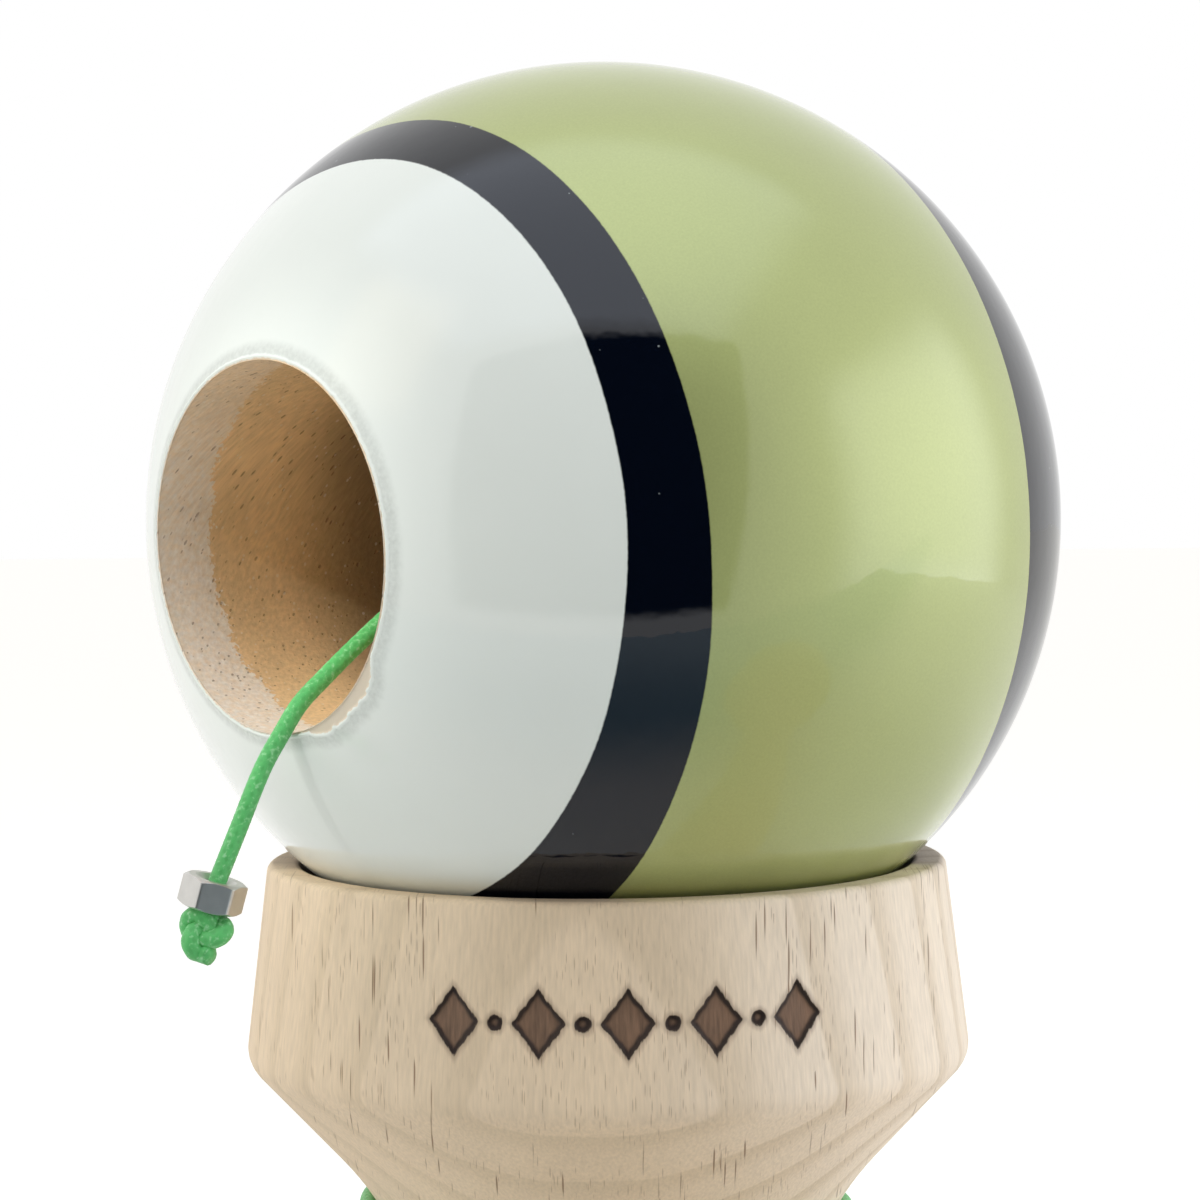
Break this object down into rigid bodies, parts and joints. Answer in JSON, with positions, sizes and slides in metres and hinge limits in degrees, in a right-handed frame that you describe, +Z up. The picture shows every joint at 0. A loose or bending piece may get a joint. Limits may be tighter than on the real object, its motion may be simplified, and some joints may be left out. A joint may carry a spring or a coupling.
{
  "type": "kendama",
  "caption": "Wooden ball-and-cup toy: bored ball resting in the big cup of a cross piece on a spiked handle, tied by a string that is wound below the cup and ends in a small nut and knot.",
  "frame": {"origin": "on the floor, at the middle of the small cup's rim, which the toy stands on", "axes": "+Z up along the axis of the two side cups, +Y along the ken toward its spike, and the ball's main hole faces -X"},
  "size_m": [0.0751, 0.16, 0.1213],
  "materials": {
    "beech": "raw turned beech, sanded",
    "tama_paint": "gloss lacquer over beech, pearl green with navy and white",
    "nut_steel": "bright turned steel",
    "string": "waxed braided nylon"
  },
  "bodies": {
    "sarado": {"sarado": "beech", "cord_lead": "string", "cord_winding": "string", "cord_root": "string", "anchor_knot": "string"},
    "ken": {"ken": "beech"},
    "string_end": {"cord_tail": "string", "end_knot": "string"},
    "tama": {"tama": "tama_paint"},
    "stopper_nut": {"stopper_nut": "nut_steel"}
  },
  "joints": [
    {"name": "ken_pull", "type": "slide", "parent": "sarado", "child": "ken", "axis": [0, -1, 0], "range_m": [0, 0.08]},
    {"name": "tama_lift", "type": "slide", "parent": "sarado", "child": "string_end", "axis": [0, 0, 1], "range_m": [0, 0.3]},
    {"name": "tama_spin", "type": "hinge", "parent": "string_end", "child": "tama", "pos_m": [0, 0, 0.09131], "axis": [-0.9994, 0, -0.0349], "continuous": true},
    {"name": "nut_slide", "type": "slide", "parent": "string_end", "child": "stopper_nut", "axis": [0.4695, 0, 0.8829], "range_m": [0, 0.005]}
  ]
}
